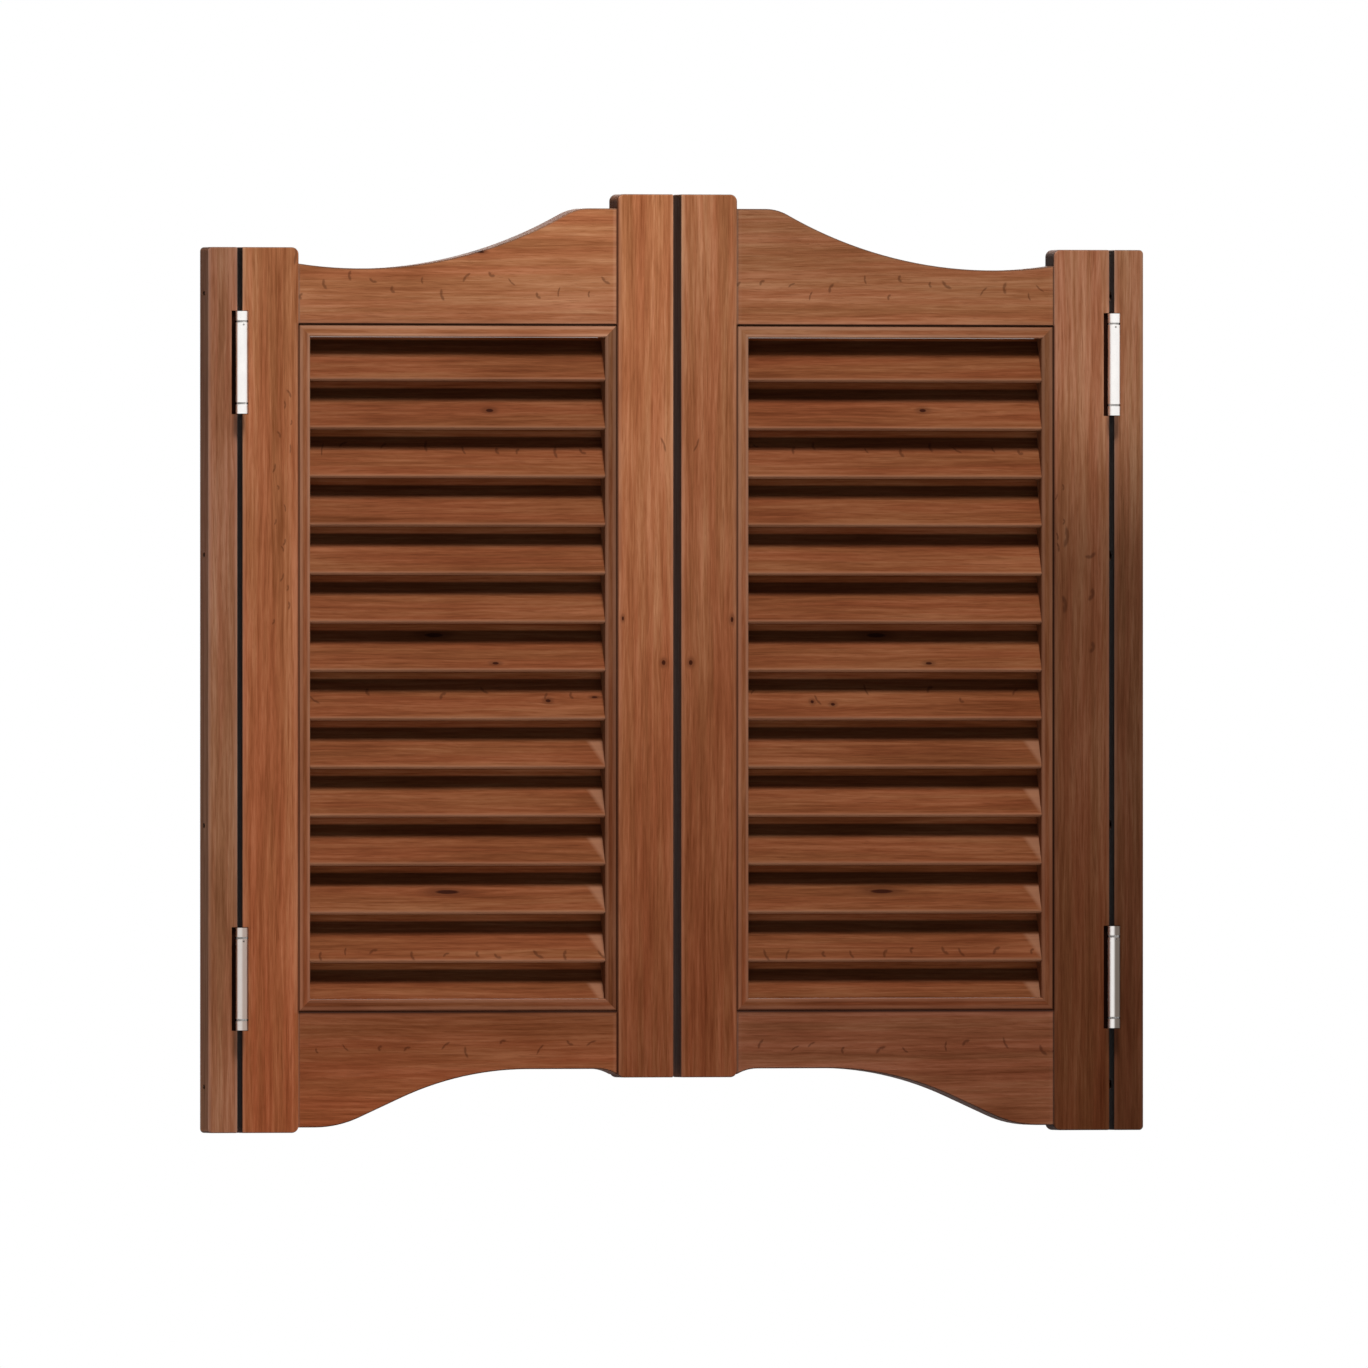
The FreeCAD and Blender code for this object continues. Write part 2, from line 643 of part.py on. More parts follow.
def hinge_leaf():
    """Plate on the strip with a ring at each end, round the spindle of the front barrel."""
    tall = "sheet.hinge_height"
    x, y = BARRELS[0]
    pieces = [block((LEAF_X[0], LEAF_FRONT, "0"), (LEAF_X[1], LEAF_BACK, tall))]
    for low, high in (("0", "sheet.ring_height"), (f"{tall} - sheet.ring_height", tall)):
        pieces.append(block((LEAF_X[0], f"0 - {PLATE_END_Y}", low), (LEAF_X[1], LEAF_FRONT, high)))
        pieces.append(upright(x, y, low, high, BARREL_RADIUS))
    spaces = [screw_body(y, z, "sheet.screw_fit") for y, z in screw_centres("0")]
    return cut(fuse(pieces), [upright(x, y, "0", tall, SPINDLE_BORE), *spaces])


def screw_body(y, z, fit):
    """Countersunk shape of a screw whose head is flush with the plate, larger by a fit."""
    head = doc.addObject("Part::Cone", "head")
    thin = f"sheet.screw_diameter / 2 + {fit}"
    bind(head, Radius1=thin, Radius2=f"sheet.screw_head / 2 + {fit}", Height="sheet.leaf_plate")
    lying(place(head, LEAF_X[0], y, z), 90)
    shank = doc.addObject("Part::Cylinder", "shank")
    bind(shank, Radius=thin, Height="sheet.screw_length - sheet.leaf_plate")
    lying(place(shank, LEAF_X[0], y, z), -90)
    return fuse([head, shank])


def screw(y, z):
    """Screw with a crossed recess in its head."""
    span, width = "sheet.screw_recess_span / 2", "sheet.screw_recess_width / 2"
    slots = []
    for half_y, half_z in ((span, width), (width, span)):
        low = (f"{LEAF_X[1]} - sheet.screw_recess_depth", f"{y} - {half_y}", f"{z} - {half_z}")
        high = (LEAF_X[1], f"{y} + {half_y}", f"{z} + {half_z}")
        slots.append(block(low, high))
    return cut(screw_body(y, z, "0"), slots)


def centre_flange():
    """Plate in the middle of the gap that carries a spring tube along each edge."""
    half = "sheet.flange_plate / 2"
    low = (f"{GAP_X} - {half}", f"0 - {PLATE_END_Y}", TUBE_BOTTOM)
    high = (f"{GAP_X} + {half}", PLATE_END_Y, TUBE_TOP)
    pieces, bores = [block(low, high)], []
    for (x, y), outward in zip(BARRELS, (-1, 1)):
        pieces.append(upright(x, y, TUBE_BOTTOM, TUBE_TOP, BARREL_RADIUS))
        bores.append(upright(x, y, TUBE_BOTTOM, TUBE_TOP, "sheet.tube_bore / 2"))
        bores.append(adjuster_hole(x, y, outward))
    return cut(fuse(pieces), bores)


def adjuster_hole(x, y, outward):
    """Small hole near the tube's upper end, where a pin winds the spring."""
    hole = doc.addObject("Part::Cylinder", "adjuster_hole")
    bind(hole, Radius="sheet.adjuster_hole / 2", Height=BARREL_RADIUS)
    place(hole, x, y, f"{TUBE_TOP} - sheet.adjuster_hole")
    hole.Placement = Placement(hole.Placement.Base, Rotation(Vector(1, 0, 0), -90 * outward))
    return hole


def spindle(x, y):
    """Rod through the whole of a barrel."""
    return [upright(x, y, "0", "sheet.hinge_height", "sheet.spindle_diameter / 2")]


def bushes(x, y):
    """Ring at each end of a tube, with a boss inside it."""
    pieces = []
    for face, away, inward in ((TUBE_BOTTOM, "-", "+"), (TUBE_TOP, "+", "-")):
        lip_levels = sorted([face, f"({face} {away} sheet.bush_lip)"], key=value)
        boss_levels = sorted([face, f"({face} {inward} sheet.bush_boss_length)"], key=value)
        lip = upright(x, y, *lip_levels, "sheet.bush_diameter / 2")
        boss = upright(x, y, *boss_levels, "sheet.tube_bore / 2 - sheet.bush_boss_fit")
        bore = upright(x, y, "0", "sheet.hinge_height", SPINDLE_BORE)
        pieces.append(cut(fuse([lip, boss]), [bore]))
    return pieces


def spring(x, y):
    """Coil spring between the bosses of a tube's bushes."""
    helix = doc.addObject("Part::Helix", "helix")
    height = f"{TUBE_HEIGHT} - 2 * {SPRING_END_ROOM}"
    bind(helix, Pitch="sheet.spring_pitch", Height=height, Radius=SPRING_RADIUS)
    wire = doc.addObject("Part::Circle", "wire")
    bind(wire, Radius="sheet.spring_wire / 2")
    place(wire, SPRING_RADIUS)
    wire.Placement = Placement(wire.Placement.Base, Rotation(Vector(1, 0, 0), 90))
    coil = doc.addObject("Part::Sweep", "coil")
    coil.Sections = [wire]
    coil.Spine = (helix, [])
    coil.Solid = True
    coil.Frenet = True
    return [place(coil, x, y, f"{TUBE_BOTTOM} + {SPRING_END_ROOM}")]


def in_both_barrels(make):
    """Pieces of a kind in both barrels of a hinge."""
    return [piece for x, y in BARRELS for piece in make(x, y)]


def compound(label, pieces, half_turn_about=None):
    """Pieces as one object, turned half round about an upright line at this x if one is given."""
    unit = doc.addObject("Part::Compound", label)
    unit.Label = label
    unit.Links = pieces
    if half_turn_about is not None:
        unit.Placement = Placement(Vector(), Rotation(Vector(0, 0, 1), 180))
        place(unit, f"2 * {half_turn_about}")
    return unit


def hinge_node(label, pieces_of, sides, on_door=False):
    """One node with the pieces of a kind from both hinges of each side.

    A door's leaf is the strip's leaf turned half round in the gap, and a right hinge is a left one
    turned half round about the middle of the pair.
    """
    hinges = []
    for side in sides:
        for middle in HINGE_CENTRES:
            pieces = compound("pieces", pieces_of(), GAP_X if on_door else None)
            hinge = compound("hinge", [pieces], "0" if side == "right" else None)
            hinges.append(place(hinge, z=f"{middle} - sheet.hinge_height / 2"))
    nodes[label] = compound(label, hinges)


def leaf_screws():
    """The screws of one leaf."""
    return [screw(y, z) for y, z in screw_centres("0")]


def build():
    """Make every node."""
    bottom_tenon, top_tenon = tenon_bottoms()
    count = round(value("sheet.slat_count"))
    for name, side in SIDES.items():
        hanging_strip(name, side)
        stile(name, side, "hinge")
        stile(name, side, "meeting")
        rail(name, side, "top", top_rail_path(), top_tenon)
        rail(name, side, "bottom", bottom_rail_path(), bottom_tenon)
        bars = {role: frame_bar(name, side, role, path) for role, path in bar_paths().items()}
        level = f"{name}_louvre_bars_level"
        nodes[level] = compound(level, [bars["top"], bars["bottom"]])
        for number in range(1, count + 1):
            slat(name, side, number)
        hinge_node(f"{name}_door_leaves", lambda: [hinge_leaf()], [name], on_door=True)
        hinge_node(f"{name}_door_leaf_screws", leaf_screws, [name], on_door=True)
        hinge_node(f"{name}_centre_flanges", lambda: [centre_flange()], [name])
        hinge_node(f"{name}_hinge_spindles", lambda: in_both_barrels(spindle), [name])
        hinge_node(f"{name}_hinge_bushes", lambda: in_both_barrels(bushes), [name])
        hinge_node(f"{name}_hinge_springs", lambda: in_both_barrels(spring), [name])
    hinge_node("hinge_jamb_leaves", lambda: [hinge_leaf()], SIDES)
    hinge_node("jamb_leaf_screws", leaf_screws, SIDES)
    doc.recompute()


def check():
    """Stop if any object failed or any node's shape is unsound."""
    failed = [item.Name for item in doc.Objects if {"Invalid", "Error"} & set(item.State)]
    unsound = [name for name, item in nodes.items() if item.Shape.isNull() or not item.Shape.isValid()]
    if failed or unsound:
        raise RuntimeError(f"failed: {failed}, unsound: {unsound}")


def write():
    """Write each node to its own STEP file."""
    os.makedirs("parts", exist_ok=True)
    for name, item in nodes.items():
        item.Shape.exportStep(f"parts/{name}.step")


build()
check()
write()
print(f"{len(nodes)} nodes, {sum(len(item.Shape.Solids) for item in nodes.values())} solids")
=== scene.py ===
"""Looks of the cafe swinging doors: finishes, camera, light and stage.

Metres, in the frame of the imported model: +X right, +Y to the back, +Z up. Every board of the
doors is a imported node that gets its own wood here, with the grain along the board.
"""

import math
import random

import bpy
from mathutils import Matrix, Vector


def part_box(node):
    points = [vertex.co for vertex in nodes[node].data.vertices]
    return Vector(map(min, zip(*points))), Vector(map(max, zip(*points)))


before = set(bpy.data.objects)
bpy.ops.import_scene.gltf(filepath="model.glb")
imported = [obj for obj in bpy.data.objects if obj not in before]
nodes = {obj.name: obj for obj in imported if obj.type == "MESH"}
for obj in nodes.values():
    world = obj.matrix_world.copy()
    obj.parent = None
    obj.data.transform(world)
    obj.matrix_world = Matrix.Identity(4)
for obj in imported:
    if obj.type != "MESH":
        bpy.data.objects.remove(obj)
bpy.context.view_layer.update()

SLAT_TILT = math.radians(20.5)
SLAT_FACE = (0.0, -math.cos(SLAT_TILT), math.sin(SLAT_TILT))
FRONT_FACE = (0.0, -1.0, 0.0)
BAR_WIDTH = 0.012
RECESS_FLOOR = 0.0115
RECESS_EDGE = 0.001

# Half widths of the dark lines in the joints.
JOINT = 0.0014
WIDE_JOINT = 0.0020

# How dark the joints of the louvre frames are, and those between rails and stiles.
FRAME_JOINT = 0.74
RAIL_JOINTS = {"left_hinge": 0.05, "left_meeting": 0.85, "right_meeting": 0.30, "right_hinge": 0.35}

# Height over which a joint changes from the one darkness to the other.
JOINT_CHANGE = 0.002

# Distances from an edge at which its pale line starts to fade and ends, and the same for the dark
# line in a joint as shares of its half width.
PALE_LINE = (0.0018, 0.0042)
DARK_LINE = (0.5, 1.5)

# How far a surface is turned to the front or back where pale lines, then dark lines, start on it and
# are full.
PALE_LINE_FACING = (0.3, 0.8)
DARK_LINE_FACING = (0.02, 0.20)

# Stained wood, as linear colours.
WOOD_DARK = (0.175, 0.043, 0.0110)
WOOD_MIDDLE = (0.320, 0.096, 0.0310)
WOOD_LIGHT = (0.470, 0.175, 0.0680)
REDDER = (1.02, 0.96, 0.97)
TANNER = (0.98, 1.04, 1.03)
WOOD_RAMP = [(0.14, WOOD_DARK), (0.50, WOOD_MIDDLE), (0.86, WOOD_LIGHT)]
KNOT_COLOUR = (0.055, 0.012, 0.004)
JOINT_COLOUR = (0.085, 0.020, 0.007)
# Painted shade in the recesses beside the hinge barrels.
RECESS_SHADE_COLOUR = (0.022, 0.005, 0.002)
# Pale colour of worn arrises and of painted highlights on edges, slat noses and slat corners.
WORN_AND_LIT_COLOUR = (0.570, 0.270, 0.138)

# Noises that follow the grain, as (scales along it, across it and through the board), detail and
# roughness, and those that don't follow it.
GRAIN_NOISES = {
    "rings": ((1.5, 82.0, 46.0), 3.0, 0.62),
    "streaks": ((13.0, 310.0, 310.0), 3.0, 0.60),
    "dashes": ((26.0, 430.0, 430.0), 2.0, 0.50),
    "fibres": ((60.0, 1300.0, 1300.0), 1.0, 0.50),
    "hue": ((4.0, 95.0, 60.0), 2.0, 0.50),
    "pores": ((95.0, 1500.0, 1500.0), 1.0, 0.50),
}
CLOUD_NOISE = ((5.0, 11.0, 11.0), 2.0, 0.50)
SWAY_NOISE = ((3.2, 13.0, 13.0), 2.0, 0.50)
SWAY = 0.007

# Least and greatest shift of one board's noises, and variation of a board's tone.
NOISE_SHIFT = (5.0, 60.0)
TONE_VARIATION = (0.96, 1.04)

# How much each noise lightens or darkens the wood, and how dark its dashes and pores are.
TONE_WEIGHTS = {"rings": 0.68, "streaks": 0.86, "fibres": 0.30, "cloud": 0.60}
DASH_DARKNESS = 0.42
PORE_DARKNESS = 0.26

# Where in its noise each mask of the wood starts and is full.
DASHES_SHOWN = (0.56, 0.74)
PORES_SHOWN = (0.60, 0.72)
HUE_CHANGE = (0.32, 0.68)
WORN_CLOUDS = (0.30, 0.62)

# How pale the arrises and the lines along the edges are, partly wear and partly painted highlight, and the
# share left outside the worn clouds.
ARRIS_PALE = 0.45
SLAT_ARRIS_PALE = 0.85
LINE_PALE = 0.18
BAR_LINE_PALE = 0.46
LEAST_WEAR = 0.5

# How far an arris is turned to the front or back where its mask starts and is full, counted from
# the board's side and from its face.
ARRIS_FROM_SIDE = (0.15, 0.45)
ARRIS_FROM_FACE = (0.985, 0.90)

# Roughness of the wood and what its noises add to it, their shares in its relief, the strength and
# depth of that relief, and how much the wood reflects.
WOOD_ROUGHNESS = 0.56
STREAK_ROUGHNESS = -0.14
CLOUD_ROUGHNESS = 0.10
FIBRE_HEIGHT = 0.45
STREAK_HEIGHT = 0.55
PORE_HEIGHT = -0.60
WOOD_BUMP = (0.30, 0.0004)
WOOD_SPECULAR = 0.02

# Tint of the boards at the part's lower end and at its upper one, painted light that is warmer below and
# cooler above, and the plain tint of the slats.
TINT_HEIGHT = 0.90
USUAL_LIGHT_TINTS = ((1.00, 0.92, 1.05), (1.00, 1.22, 1.60))
LIGHT_TINTS = {
    "left_hanging_strip": ((1.00, 1.30, 1.90), (1.00, 1.30, 2.00)),
    "right_hanging_strip": ((1.04, 1.06, 1.30), (1.06, 1.52, 2.30)),
    "right_hinge_stile": ((1.03, 1.00, 1.10), (1.03, 1.32, 1.95)),
    "right_bottom_rail": ((1.00, 1.08, 1.50), (1.00, 1.08, 1.50)),
}
SLAT_TINT = (1.03, 1.03, 1.15)

# How light each board is beside the others, at its lower end and at its upper one: partly its own tone and
# partly painted light and shade.
TONES_AND_LIGHT = {
    "left_hanging_strip": (0.80, 0.76),
    "right_hanging_strip": (0.51, 0.80),
    "left_hinge_stile": (0.85, 1.00),
    "right_hinge_stile": (0.50, 0.82),
    "left_meeting_stile": (0.56, 1.33),
    "right_meeting_stile": (0.53, 0.96),
    "left_top_rail": (0.84, 1.24),
    "right_top_rail": (0.82, 0.68),
    "left_bottom_rail": (0.86, 0.53),
    "right_bottom_rail": (0.61, 0.56),
    "left_louvre_bars_level": (0.47, 0.86),
    "right_louvre_bars_level": (0.46, 0.75),
    "left_louvre_bar_hinge_side": (0.66, 0.76),
    "left_louvre_bar_meeting_side": (0.40, 0.47),
    "right_louvre_bar_meeting_side": (0.54, 0.70),
    "right_louvre_bar_hinge_side": (0.40, 0.48),
}
# Tones of the slats at the doors' lower end and at their upper one, partly painted light.
LEFT_SLAT_TONES_AND_LIGHT = (0.56, 0.49)
RIGHT_SLAT_TONES_AND_LIGHT = (0.48, 0.48)

# Share of a board's tone that its ends keep, and that its sides in the joints and gaps keep under painted
# shade.
END_SHARE = 0.30
SIDE_SHARE = 0.38
HINGE_GAP_SHARE = 0.14

# How far a surface faces sideways, or up or down, where those shares start and are full.
FACING_SIDEWAYS = (0.70, 0.95)
FACING_UP = (0.30, 0.70)

# Height of a slat's nose over the slat's lowest point, height over the nose up to which it has a painted
# highlight, share of that height with the full highlight, and how strong it is.
SLAT_NOSE = 0.0021
SLAT_NOSE_HIGHLIGHT = 0.0027
SLAT_NOSE_HIGHLIGHT_FULL = 0.4
SLAT_NOSE_STRENGTH = 0.36

# Share of a slat's tone at heights over its nose, a painted shadow of the slat above: the face, a dark band,
# a painted lighter one close below the slat above, and what that slat covers.
SLAT_BANDS = [(0.0235, 1.00), (0.0290, 0.42), (0.0375, 0.38), (0.0400, 1.65), (0.0440, 1.65), (0.0455, 0.70)]
SLAT_FRONT = (0.3, 0.7)

# Painted patches of light in the corners at the right ends of the lower slats: first slat, size, how their
# slanted edge and their top fade, and how pale they are.
PALE_CORNER_FROM = 9
PALE_CORNER_WIDTH = 0.017
PALE_CORNER_HEIGHT = 0.027
PALE_CORNER_EDGE = (-0.0025, 0.0045)
PALE_CORNER_TOP = 0.003
PALE_CORNER_STRENGTH = 0.58

# Knots as (x, z, half length along the grain, half width across it).
KNOTS = {
    "left_slat_02": [(-0.1900, 0.7052, 0.0048, 0.0021)],
    "left_slat_07": [(-0.2450, 0.4856, 0.0120, 0.0028), (-0.1850, 0.4582, 0.0042, 0.0016)],
    "left_slat_08": [(-0.1300, 0.4215, 0.0034, 0.0020), (-0.0820, 0.4250, 0.0038, 0.0012)],
    "left_slat_12": [(-0.2330, 0.2347, 0.0150, 0.0025)],
    "right_slat_02": [(0.2550, 0.7060, 0.0044, 0.0021)],
    "right_slat_07": [(0.2090, 0.4856, 0.0120, 0.0028), (0.2600, 0.4582, 0.0042, 0.0016)],
    "right_slat_08": [(0.1410, 0.4205, 0.0022, 0.0020), (0.1620, 0.4180, 0.0028, 0.0018)],
    "right_slat_12": [(0.2130, 0.2347, 0.0145, 0.0025)],
    "left_meeting_stile": [(-0.0142, 0.4588, 0.0031, 0.0025), (-0.0560, 0.5020, 0.0026, 0.0014)],
    "right_meeting_stile": [(0.0136, 0.4588, 0.0031, 0.0025), (0.0560, 0.5010, 0.0034, 0.0018)],
    "left_top_rail": [(-0.2010, 0.8600, 0.0040, 0.0014)],
}

# A knot's core and the halo round it, in its half sizes, how strong the halo is, how far the knot
# pushes the grain aside in its half widths, and how fast that fades.
KNOT_CORE = (0.55, 1.15)
KNOT_HALO = (0.8, 2.6)
KNOT_HALO_STRENGTH = 0.40
KNOT_PUSH = 1.6
KNOT_PUSH_FADE = 0.35

# Short curled marks as (x, z, half length, half width, slope against the grain).
TICKS = {
    "left_meeting_stile": [(-0.0150, 0.6720, 0.0056, 0.0017, -0.35)],
    "right_meeting_stile": [(0.0190, 0.6720, 0.0052, 0.0015, 0.40)],
    "left_hinge_stile": [(-0.3920, 0.8580, 0.0085, 0.0022, 0.05)],
    "right_hinge_stile": [
        (0.4250, 0.5260, 0.0048, 0.0034, 0.3),
        (0.4260, 0.4740, 0.0042, 0.0030, 0.2),
        (0.3970, 0.5160, 0.0065, 0.0032, -0.1),
        (0.3990, 0.5820, 0.0075, 0.0032, 0.1),
        (0.4250, 0.5650, 0.0042, 0.0030, 1.2),
    ],
}

# Level rows of such marks with places left to chance, as (lowest z, highest z, number of marks).
TICK_ROWS = {
    "left_top_rail": (0.816, 0.840, 16),
    "right_top_rail": (0.816, 0.836, 16),
    "left_bottom_rail": (0.077, 0.088, 12),
    "right_bottom_rail": (0.077, 0.086, 12),
    "left_slat_03": (0.663, 0.672, 9),
    "right_slat_03": (0.663, 0.672, 9),
    "left_slat_08": (0.422, 0.433, 6),
    "right_slat_08": (0.422, 0.433, 6),
    "left_slat_13": (0.172, 0.177, 10),
    "right_slat_13": (0.172, 0.177, 10),
}

# Upright columns of flecks, as (lowest x, highest x, lowest z, highest z, number of flecks).
FLECK_COLUMNS = {
    "left_hinge_stile": (-0.414, -0.394, 0.490, 0.735, 15),
    "right_hinge_stile": (0.382, 0.398, 0.540, 0.640, 9),
}

# Marks of a row, then flecks: part of its own stretch that each may lie in, sizes and slope.
MARK_STRETCH = (0.2, 0.8)
MARK_HALF_LENGTH = (0.0022, 0.0048)
MARK_HALF_WIDTH = (0.0012, 0.0026)
MARK_SLOPE = (0.4, 2.7)
FLECK_STRETCH = (0.1, 0.9)
FLECK_HALF_LENGTH = (0.0018, 0.0036)
FLECK_HALF_WIDTH = (0.0010, 0.0016)
FLECK_SLOPE = (-0.5, 0.5)

# Ring that a mark is one side of, in the mark's half sizes: its middle, how it fades to either
# side, where that side starts and is full, and how dark the marks are.
RING_RADIUS = 0.8
RING_FADE = (0.80, 0.20)
RING_SIDE = (-0.50, 0.25)
MARK_STRENGTH = 0.50

# Boards with a painted shadow below a height, as (height, length of the change, share of light left).
DARKER_BELOW = {
    "right_hinge_stile": (0.730, 0.190, 0.58),
    "right_hanging_strip": (0.730, 0.190, 0.48),
}


# Noises of the steel: its fine lines, turned or brushed, its smears and its pits.
TURNED_LINES = ((350.0, 350.0, 5200.0), 2.0)
BRUSHED_LINES = ((5200.0, 5200.0, 260.0), 2.0)
SMEAR_NOISE = ((85.0, 85.0, 45.0), 3.0, 0.60)
PIT_NOISE = ((2100.0, 2100.0, 2100.0), 1.0)
PITS_SHOWN = (0.66, 0.74)
PIT_COLOUR = (0.20, 0.19, 0.18)
PIT_DARKNESS = 0.35

# Tone of the steel before its smears and lines lighten it, what those add to it and to the
# roughness, and the relief of the lines.
STEEL_TONE = 0.86
SMEAR_TONE = 0.14
LINE_TONE = 0.10
SMEAR_ROUGHNESS = 0.16
LINE_ROUGHNESS = 0.08
STEEL_BUMP = (0.12, 0.0001)

# Painted shade and reflection on the lower hinges, left and right: colour, share all round, and what the
# right sides add.
HINGE_SHADE_COLOURS = ((0.220, 0.100, 0.045), (0.105, 0.075, 0.052))
HINGE_SHADE_ALL_ROUND = (0.40, 0.12)
HINGE_SHADE_RIGHT_SIDES = (0.30, 0.80)

# Where the painted shade starts and is full, where the right door's takes over from the left's, and how far
# a surface is turned to the right where it counts as a right side.
HINGE_SHADE_HEIGHT = (0.50, 0.40)
HINGE_SHADE_DOOR = (-0.10, 0.10)
HINGE_SHADE_SIDE = (-0.45, -0.02)

# Moulded plastic: its grain and dust, where the dust starts and is full, and its relief.
MOULD_NOISE = ((2600.0, 2600.0, 2600.0), 2.0)
DUST_NOISE = ((140.0, 140.0, 140.0), 3.0)
DUST_SHOWN = (0.45, 0.80)
DUST_ROUGHNESS = 0.16
MOULD_BUMP = (0.25, 0.00015)


class Shader:
    """Adds and links the nodes of one material or world."""

    def __init__(self, tree):
        self.tree = tree
        self.tree.nodes.clear()

    def node(self, kind, **settings):
        made = self.tree.nodes.new(kind)
        for name, setting in settings.items():
            setattr(made, name, setting)
        return made

    def feed(self, socket, value):
        """Link a socket to another, or give it a plain value."""
        if isinstance(value, bpy.types.NodeSocket):
            self.tree.links.new(value, socket)
        else:
            socket.default_value = value

    def math(self, operation, *values):
        made = self.node("ShaderNodeMath", operation=operation)
        for socket, value in zip(made.inputs, values):
            self.feed(socket, value)
        return made.outputs[0]

    def vector(self, operation, *values, output=0):
        made = self.node("ShaderNodeVectorMath", operation=operation)
        for socket, value in zip(made.inputs, values):
            self.feed(socket, value)
        return made.outputs[output]

    def split(self, vector):
        """The three numbers of a vector."""
        made = self.node("ShaderNodeSeparateXYZ")
        self.feed(made.inputs[0], vector)
        return made.outputs

    def joined(self, *values):
        """A vector of three numbers."""
        made = self.node("ShaderNodeCombineXYZ")
        for socket, value in zip(made.inputs, values):
            self.feed(socket, value)
        return made.outputs[0]

    def between(self, mask, low, high):
        """A number that is low where the mask is 0 and high where it is 1."""
        return self.math("MULTIPLY_ADD", mask, high - low, low)

    def step(self, value, low, high, smooth=True):
        """0 where the value is low and 1 where it is high."""
        kind = "SMOOTHSTEP" if smooth else "LINEAR"
        made = self.node("ShaderNodeMapRange", interpolation_type=kind, clamp=True)
        self.feed(made.inputs["Value"], value)
        made.inputs["From Min"].default_value = low
        made.inputs["From Max"].default_value = high
        return made.outputs[0]

    def noise(self, vector, scale, detail=2.0, roughness=0.5):
        """Noise from 0 to 1 with its own scale along each axis of the vector."""
        made = self.node("ShaderNodeTexNoise", noise_dimensions="3D")
        self.feed(made.inputs["Vector"], self.vector("MULTIPLY", vector, scale))
        made.inputs["Scale"].default_value = 1.0
        made.inputs["Detail"].default_value = detail
        made.inputs["Roughness"].default_value = roughness
        return made.outputs["Fac"]

    def mix(self, factor, first, second):
        """The first colour where the factor is 0 and the second where it is 1."""
        made = self.node("ShaderNodeMix", data_type="RGBA")
        colours = [socket for socket in made.inputs if socket.type == "RGBA"]
        self.feed(made.inputs[0], factor)
        for socket, value in zip(colours, (first, second)):
            self.feed(socket, (*value, 1.0) if isinstance(value, tuple) else value)
        return [socket for socket in made.outputs if socket.type == "RGBA"][0]

    def ramp(self, value, stops):
        made = self.node("ShaderNodeValToRGB")
        elements = made.color_ramp.elements
        while len(elements) < len(stops):
            elements.new(0.5)
        for element, (position, colour) in zip(elements, stops):
            element.position = position
            element.color = (*colour, 1.0)
        self.feed(made.inputs[0], value)
        return made.outputs["Color"]

    def scaled(self, colour, factor):
        """A colour times a number."""
        made = self.node("ShaderNodeVectorMath", operation="SCALE")
        self.feed(made.inputs[0], colour)
        self.feed(made.inputs["Scale"], factor)
        return made.outputs[0]

    def bump(self, height, strength, distance):
        made = self.node("ShaderNodeBump")
        made.inputs["Strength"].default_value = strength
        made.inputs["Distance"].default_value = distance
        self.feed(made.inputs["Height"], height)
        return made.outputs["Normal"]

    def surface(self, colour, roughness, normal, metallic=0.0, specular=0.5):
        """Finish the material with a Principled shader."""
        shader = self.node("ShaderNodeBsdfPrincipled")
        shader.inputs["Metallic"].default_value = metallic
        shader.inputs["Specular IOR Level"].default_value = specular
        self.feed(shader.inputs["Base Color"], colour)
        self.feed(shader.inputs["Roughness"], roughness)
        self.feed(shader.inputs["Normal"], normal)
        output = self.node("ShaderNodeOutputMaterial")
        self.tree.links.new(shader.outputs[0], output.inputs["Surface"])


def new_material(name):
    """Material and the shader that fills it."""
    material = bpy.data.materials.new(name)
    material.use_nodes = True
    return material, Shader(material.node_tree)


